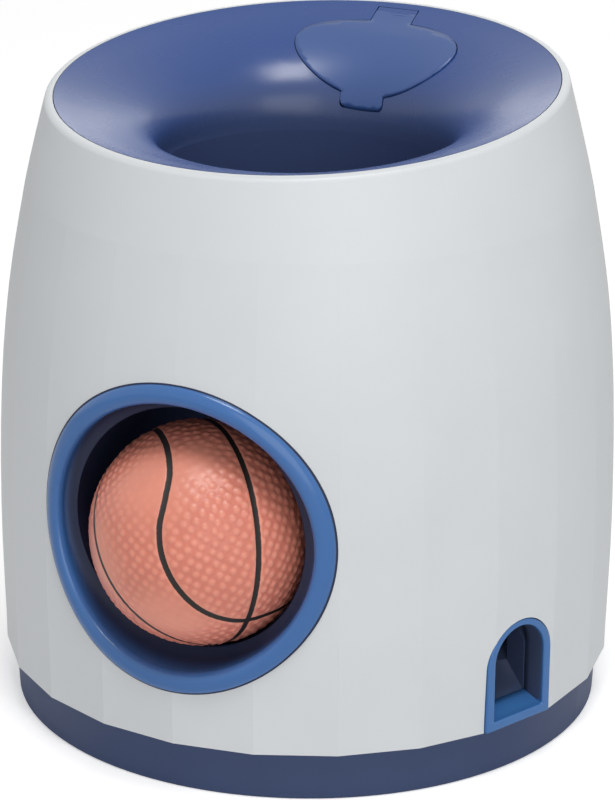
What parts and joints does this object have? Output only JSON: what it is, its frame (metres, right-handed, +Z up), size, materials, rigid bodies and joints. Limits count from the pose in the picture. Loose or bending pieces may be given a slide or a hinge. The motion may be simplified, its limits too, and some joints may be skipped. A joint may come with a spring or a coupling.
{
  "type": "dog treat puzzle",
  "caption": "Barrel-shaped puzzle for dogs: a ball dropped in the slanted funnel rolls to the front mouth and tips a paddle that lets treats slide to a small arch.",
  "frame": {"origin": "centre of the foot on the floor, under the middle of the base tray", "axes": "+Z up; the round ball mouth faces -Y and the small treat arch is to its right, towards +X"},
  "size_m": [0.1702, 0.1811, 0.1799],
  "materials": {
    "shell_grey": "fine satin moulded plastic, pale grey",
    "funnel_blue": "satin moulded plastic, mid blue",
    "ring_blue": "satin moulded plastic, bright blue",
    "inner_navy": "satin moulded plastic, dark blue",
    "base_navy": "satin moulded plastic, navy",
    "ball_coral": "soft pebbled rubber, coral with dark lines",
    "mechanism_white": "natural acetal",
    "steel": "bright steel",
    "foot_rubber": "dark rubber"
  },
  "bodies": {
    "housing": {"outer_shell": "shell_grey", "funnel": "funnel_blue", "lid_hinge_pin": "steel", "ball_mouth_bezel": "ring_blue", "ball_chute": "inner_navy", "shaft_bush_left": "mechanism_white", "shaft_bush_right": "mechanism_white", "treat_hopper": "inner_navy", "treat_chute": "ring_blue", "treat_exit_frame": "ring_blue", "base_tray": "base_navy", "rubber_feet": "foot_rubber", "shell_screws": "steel", "ball_chute_screws": "steel", "treat_chute_screws": "steel", "funnel_screws": "steel", "hopper_screws": "steel"},
    "lid": {"fill_lid": "funnel_blue"},
    "trip": {"trip_shaft": "steel", "shaft_clips": "steel", "trip_paddle": "mechanism_white", "treat_gate": "mechanism_white", "counterweight": "steel"},
    "ball": {"treat_ball": "ball_coral"}
  },
  "joints": [
    {"name": "lid_hinge", "type": "hinge", "parent": "housing", "child": "lid", "pos_m": [0, 0.06149, 0.17585], "axis": [-1, 0, 0], "range_deg": [0, 100]},
    {"name": "trip_pivot", "type": "hinge", "parent": "housing", "child": "trip", "pos_m": [0, 0.055, 0.092], "axis": [1, 0, 0], "range_deg": [0, 45]},
    {"name": "ball_out", "type": "slide", "parent": "housing", "child": "ball", "axis": [0, -0.9659, 0.2588], "range_m": [0, 0.08]}
  ]
}
